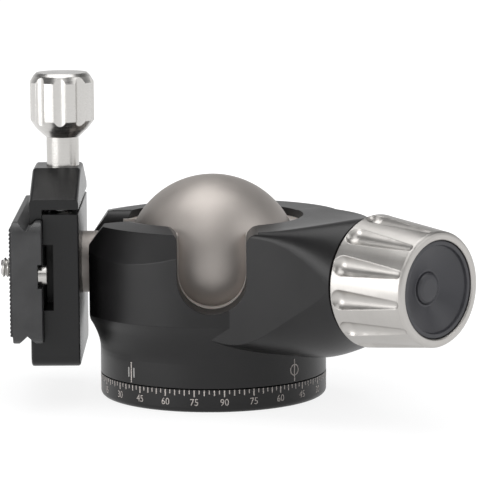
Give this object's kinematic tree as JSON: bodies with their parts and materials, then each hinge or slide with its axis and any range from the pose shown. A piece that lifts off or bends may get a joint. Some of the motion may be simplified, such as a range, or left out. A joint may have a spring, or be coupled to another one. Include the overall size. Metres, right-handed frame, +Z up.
{
  "type": "tripod ball head",
  "caption": "Low-profile ball head: panning base, notched housing with side locking knob, ball dropped into its side notch, screw clamp and dovetail quick-release plate.",
  "frame": {"origin": "centre of the base's bottom face, on the pan axis", "axes": "+Z up along the pan axis; the ball's stem and the quick-release clamp point along -X; the main locking knob points between +X and -Y"},
  "size_m": [0.1464, 0.1306, 0.1023],
  "materials": {
    "black_anodised": "satin black anodised",
    "stainless": "turned stainless",
    "steel": "plain spring steel",
    "acetal": "natural acetal",
    "black_oxide": "black oxide",
    "plain_aluminium": "as machined",
    "bronze": "plain bearing bronze",
    "bright_aluminium": "bright turned, clear anodised",
    "black_dial": "matt black anodised",
    "bead_blasted_ball": "bead blasted, titanium grey anodised",
    "pad_rubber": "ribbed"
  },
  "bodies": {
    "base": {"pan_base": "black_anodised", "thread_insert": "stainless", "pan_washer": "acetal", "pan_retainer": "steel", "retainer_screws": "black_oxide"},
    "housing": {"housing": "black_anodised", "bearing_plate": "plain_aluminium", "cup_spring": "steel", "ball_cup": "acetal", "liner_ring": "acetal", "arm_bush": "bronze"},
    "pan_brake": {"pan_brake_plug": "bronze"},
    "pan_lock": {"pan_lock_screw": "stainless", "pan_lock_knob": "bright_aluminium"},
    "ball_brake": {"brake_shoe": "acetal", "disc_springs": "steel", "lock_pusher": "bronze"},
    "main_lock": {"lock_spindle": "stainless", "thrust_washer": "stainless", "knob_nut": "stainless", "main_knob": "bright_aluminium"},
    "friction_dial": {"friction_dial": "black_dial", "dial_rod": "stainless", "dial_button": "black_dial"},
    "ball": {"ball": "bead_blasted_ball", "clamp_bolt": "black_oxide"},
    "clamp": {"clamp_body": "black_anodised", "guide_pins": "stainless", "jaw_springs": "steel"},
    "jaw": {"clamp_jaw": "black_anodised", "clamp_washer": "stainless"},
    "clamp_lock": {"clamp_screw": "stainless", "clamp_knob": "bright_aluminium"},
    "plate": {"qr_plate": "black_anodised", "plate_pad": "pad_rubber", "stop_screws": "stainless"},
    "camera_screw": {"camera_screw": "stainless"}
  },
  "joints": [
    {"name": "pan", "type": "hinge", "parent": "base", "child": "housing", "pos_m": [0, 0, 0.01], "axis": [0, 0, 1], "continuous": true},
    {"name": "pan_brake_slide", "type": "slide", "parent": "housing", "child": "pan_brake", "axis": [0, 1, 0], "range_m": [0, 0.000525]},
    {"name": "pan_lock_turn", "type": "hinge", "parent": "pan_brake", "child": "pan_lock", "pos_m": [0, 0.04, 0.0109], "axis": [0, 1, 0], "range_deg": [0, 270]},
    {"name": "ball_brake_slide", "type": "slide", "parent": "housing", "child": "ball_brake", "axis": [0.7071, -0.7071, 0], "range_m": [0, 0.00075]},
    {"name": "main_lock_turn", "type": "hinge", "parent": "housing", "child": "main_lock", "pos_m": [0.04243, -0.04243, 0.043], "axis": [0.7071, -0.7071, 0], "range_deg": [0, 270]},
    {"name": "friction_dial_turn", "type": "hinge", "parent": "main_lock", "child": "friction_dial", "pos_m": [0.04243, -0.04243, 0.043], "axis": [0.7071, -0.7071, 0], "range_deg": [0, 300]},
    {"name": "ball_tilt", "type": "hinge", "parent": "housing", "child": "ball", "pos_m": [0, 0, 0.0422], "axis": [0, 1, 0], "range_deg": [0, 120]},
    {"name": "clamp_spin", "type": "hinge", "parent": "ball", "child": "clamp", "pos_m": [-0.04095, 0, 0.0422], "axis": [1, 0, 0], "continuous": true},
    {"name": "jaw_slide", "type": "slide", "parent": "clamp", "child": "jaw", "axis": [0, 0, 1], "range_m": [0, 0.0035], "deforming": ["jaw_springs"]},
    {"name": "clamp_knob_turn", "type": "hinge", "parent": "jaw", "child": "clamp_lock", "pos_m": [-0.04695, 0, 0.08], "axis": [0, 0, 1], "range_deg": [0, 1008]},
    {"name": "plate_slide", "type": "slide", "parent": "clamp", "child": "plate", "axis": [0, 1, 0], "range_m": [-0.016, 0.016]},
    {"name": "camera_screw_turn", "type": "hinge", "parent": "plate", "child": "camera_screw", "pos_m": [-0.06, 0, 0.0404], "axis": [1, 0, 0], "continuous": true}
  ],
  "couplings": [
    {"joint": "pan_lock_turn", "follows": "pan_brake_slide", "rad_per_m": 8976},
    {"joint": "ball_brake_slide", "follows": "main_lock_turn", "m_per_rad": 0.00015915},
    {"joint": "clamp_knob_turn", "follows": "jaw_slide", "rad_per_m": 5026.5}
  ]
}
